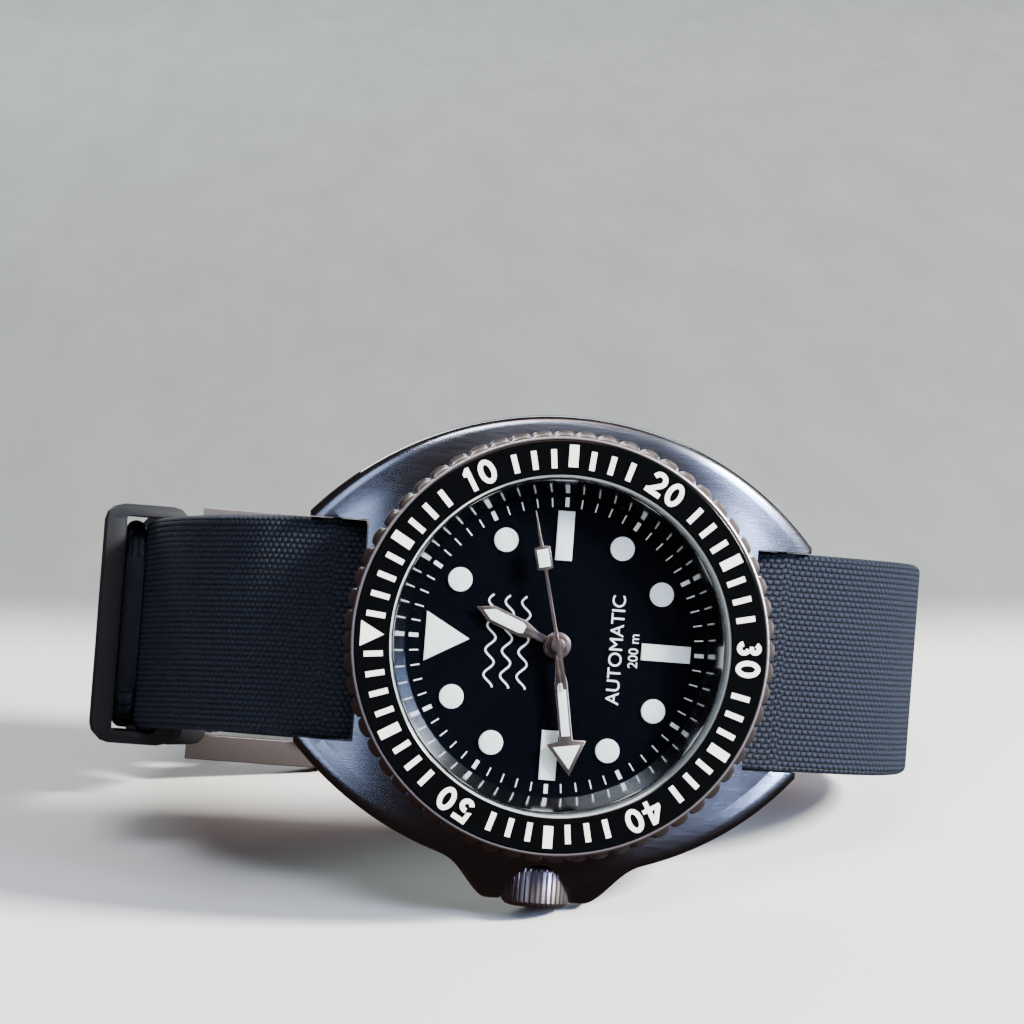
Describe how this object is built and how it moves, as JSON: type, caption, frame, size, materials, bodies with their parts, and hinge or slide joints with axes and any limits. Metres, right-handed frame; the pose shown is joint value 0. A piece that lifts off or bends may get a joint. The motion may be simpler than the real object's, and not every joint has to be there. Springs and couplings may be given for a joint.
{
  "type": "dive watch",
  "caption": "Automatic dive watch with a scalloped rotating bezel, crown guard, black dial and a two-piece woven strap buckled into a loop, resting on its side.",
  "frame": {"origin": "centre of the bounding box on the surface that the watch rests on", "axes": "+X from 12 o'clock towards 6 o'clock, sloping down slightly; the dial faces -Y and leans back; 3 o'clock is up and the crown is down"},
  "size_m": [0.081, 0.0644, 0.0446],
  "materials": {
    "case_steel": "brushed top, polished bevels",
    "polished_steel": "polished",
    "black_insert": "gloss",
    "sapphire": "clear",
    "nylon_seal": "matte",
    "rubber": "satin",
    "dial_lacquer": "satin",
    "hand_steel": "polished",
    "brass": "polished",
    "nickel_plate": "striped",
    "blued_steel": "blued",
    "strap_fabric": "woven",
    "holder_plastic": "matte"
  },
  "bodies": {
    "watch": {"case_body": "case_steel", "case_back": "case_steel", "case_back_gasket": "rubber", "crystal": "sapphire", "crystal_gasket": "nylon_seal", "rehaut_ring": "polished_steel", "dial": "dial_lacquer", "bezel_click_spring": "case_steel", "bezel_gasket": "rubber", "crown_tube": "case_steel", "main_plate": "brass", "movement_holder": "holder_plastic", "clamp_screw_1": "blued_steel", "clamp_screw_2": "blued_steel", "barrel_bridge": "nickel_plate", "train_bridge": "nickel_plate", "balance_cock": "nickel_plate", "rotor_bearing": "case_steel", "rotor_screw": "blued_steel", "spring_bar_12": "case_steel", "spring_bar_6": "case_steel", "strap_12": "strap_fabric", "strap_6": "strap_fabric", "keeper_fixed": "rubber"},
    "bezel": {"bezel_ring": "polished_steel", "bezel_insert": "black_insert"},
    "clutch": {"sliding_pinion": "case_steel"},
    "crown": {"crown": "case_steel", "winding_stem": "case_steel", "crown_gasket": "rubber"},
    "setting_lever": {"setting_lever": "case_steel"},
    "minute_hand": {"minute_hand": "hand_steel", "cannon_pinion": "brass"},
    "hour_hand": {"hour_hand": "hand_steel", "hour_wheel": "brass"},
    "minute_wheel": {"minute_wheel": "brass"},
    "second_hand": {"second_hand": "hand_steel", "fourth_wheel": "brass"},
    "third_wheel": {"third_wheel": "brass"},
    "great_wheel": {"great_wheel": "brass"},
    "barrel": {"mainspring_barrel": "brass"},
    "escape_wheel": {"escape_wheel": "case_steel"},
    "crown_wheel": {"crown_wheel": "case_steel"},
    "ratchet_wheel": {"ratchet_wheel": "case_steel"},
    "pallet_fork": {"pallet_fork": "case_steel"},
    "balance": {"balance_wheel": "brass", "hairspring": "blued_steel"},
    "rotor": {"rotor": "case_steel"},
    "buckle": {"buckle_frame": "polished_steel", "buckle_bar": "case_steel"},
    "tang": {"buckle_tang": "polished_steel"},
    "keeper": {"keeper_free": "rubber"}
  },
  "joints": [
    {"name": "bezel_turn", "type": "hinge", "parent": "watch", "child": "bezel", "pos_m": [0.00386, -0.01555, 0.0224], "axis": [0.0379, -0.9692, 0.2435], "continuous": true},
    {"name": "crown_turn", "type": "hinge", "parent": "watch", "child": "clutch", "pos_m": [0.00049, -0.02628, 0.00073], "axis": [-0.1491, -0.2464, -0.9576], "continuous": true},
    {"name": "crown_pull", "type": "slide", "parent": "clutch", "child": "crown", "axis": [-0.1491, -0.2464, -0.9576], "range_m": [0, 0.0018]},
    {"name": "setting_lever_swing", "type": "hinge", "parent": "watch", "child": "setting_lever", "pos_m": [0.00597, -0.02174, 0.01385], "axis": [0.0379, -0.9692, 0.2435], "range_deg": [-2, 32]},
    {"name": "minute_hand_turn", "type": "hinge", "parent": "watch", "child": "minute_hand", "pos_m": [0.00386, -0.01555, 0.0224], "axis": [-0.0379, 0.9692, -0.2435], "continuous": true},
    {"name": "hour_hand_turn", "type": "hinge", "parent": "watch", "child": "hour_hand", "pos_m": [0.00386, -0.01555, 0.0224], "axis": [-0.0379, 0.9692, -0.2435], "continuous": true},
    {"name": "minute_wheel_turn", "type": "hinge", "parent": "watch", "child": "minute_wheel", "pos_m": [0.00196, -0.01882, 0.0261], "axis": [-0.0379, 0.9692, -0.2435], "continuous": true},
    {"name": "second_hand_turn", "type": "hinge", "parent": "watch", "child": "second_hand", "pos_m": [0.00386, -0.01555, 0.0224], "axis": [-0.0379, 0.9692, -0.2435], "continuous": true},
    {"name": "third_wheel_turn", "type": "hinge", "parent": "watch", "child": "third_wheel", "pos_m": [0.00524, -0.02014, 0.02034], "axis": [-0.0379, 0.9692, -0.2435], "continuous": true},
    {"name": "great_wheel_turn", "type": "hinge", "parent": "watch", "child": "great_wheel", "pos_m": [0.00241, -0.02077, 0.01828], "axis": [-0.0379, 0.9692, -0.2435], "continuous": true},
    {"name": "barrel_turn", "type": "hinge", "parent": "watch", "child": "barrel", "pos_m": [-0.00292, -0.02059, 0.01979], "axis": [-0.0379, 0.9692, -0.2435], "continuous": true},
    {"name": "escape_wheel_turn", "type": "hinge", "parent": "watch", "child": "escape_wheel", "pos_m": [0.00749, -0.01912, 0.02402], "axis": [-0.0379, 0.9692, -0.2435], "continuous": true},
    {"name": "crown_wheel_turn", "type": "hinge", "parent": "watch", "child": "crown_wheel", "pos_m": [-0.00184, -0.02175, 0.01502], "axis": [-0.0379, 0.9692, -0.2435], "continuous": true},
    {"name": "ratchet_wheel_turn", "type": "hinge", "parent": "watch", "child": "ratchet_wheel", "pos_m": [-0.00292, -0.02059, 0.01979], "axis": [-0.0379, 0.9692, -0.2435], "continuous": true},
    {"name": "pallet_fork_swing", "type": "hinge", "parent": "watch", "child": "pallet_fork", "pos_m": [0.00986, -0.01891, 0.02452], "axis": [-0.0379, 0.9692, -0.2435], "range_deg": [-6, 6]},
    {"name": "balance_swing", "type": "hinge", "parent": "watch", "child": "balance", "pos_m": [0.01266, -0.01868, 0.02497], "axis": [-0.0379, 0.9692, -0.2435], "range_deg": [-140, 140], "stiffness_Nm_per_rad": 0.000001},
    {"name": "rotor_turn", "type": "hinge", "parent": "watch", "child": "rotor", "pos_m": [0.00386, -0.01555, 0.0224], "axis": [0.0379, -0.9692, 0.2435], "continuous": true},
    {"name": "buckle_pivot", "type": "hinge", "parent": "watch", "child": "buckle", "pos_m": [-0.02895, 0.02617, 0.01448], "axis": [0.1491, 0.2464, 0.9576], "range_deg": [0, 8]},
    {"name": "tang_pivot", "type": "hinge", "parent": "buckle", "child": "tang", "pos_m": [-0.02895, 0.02617, 0.01448], "axis": [0.1491, 0.2464, 0.9576], "range_deg": [0, 35]},
    {"name": "keeper_slide", "type": "slide", "parent": "watch", "child": "keeper", "axis": [-0.1089, 0.9666, -0.2318], "range_m": [-0.001, 0.001]}
  ],
  "couplings": [
    {"joint": "hour_hand_turn", "follows": "minute_hand_turn", "ratio": 0.083333},
    {"joint": "minute_wheel_turn", "follows": "minute_hand_turn", "ratio": -0.33333},
    {"joint": "third_wheel_turn", "follows": "second_hand_turn", "ratio": -0.125},
    {"joint": "great_wheel_turn", "follows": "second_hand_turn", "ratio": 0.016667},
    {"joint": "barrel_turn", "follows": "second_hand_turn", "ratio": -0.002381},
    {"joint": "escape_wheel_turn", "follows": "second_hand_turn", "ratio": -6},
    {"joint": "crown_wheel_turn", "follows": "crown_turn", "ratio": -1},
    {"joint": "ratchet_wheel_turn", "follows": "crown_turn", "ratio": 0.5},
    {"joint": "setting_lever_swing", "follows": "crown_pull", "rad_per_m": 300}
  ]
}
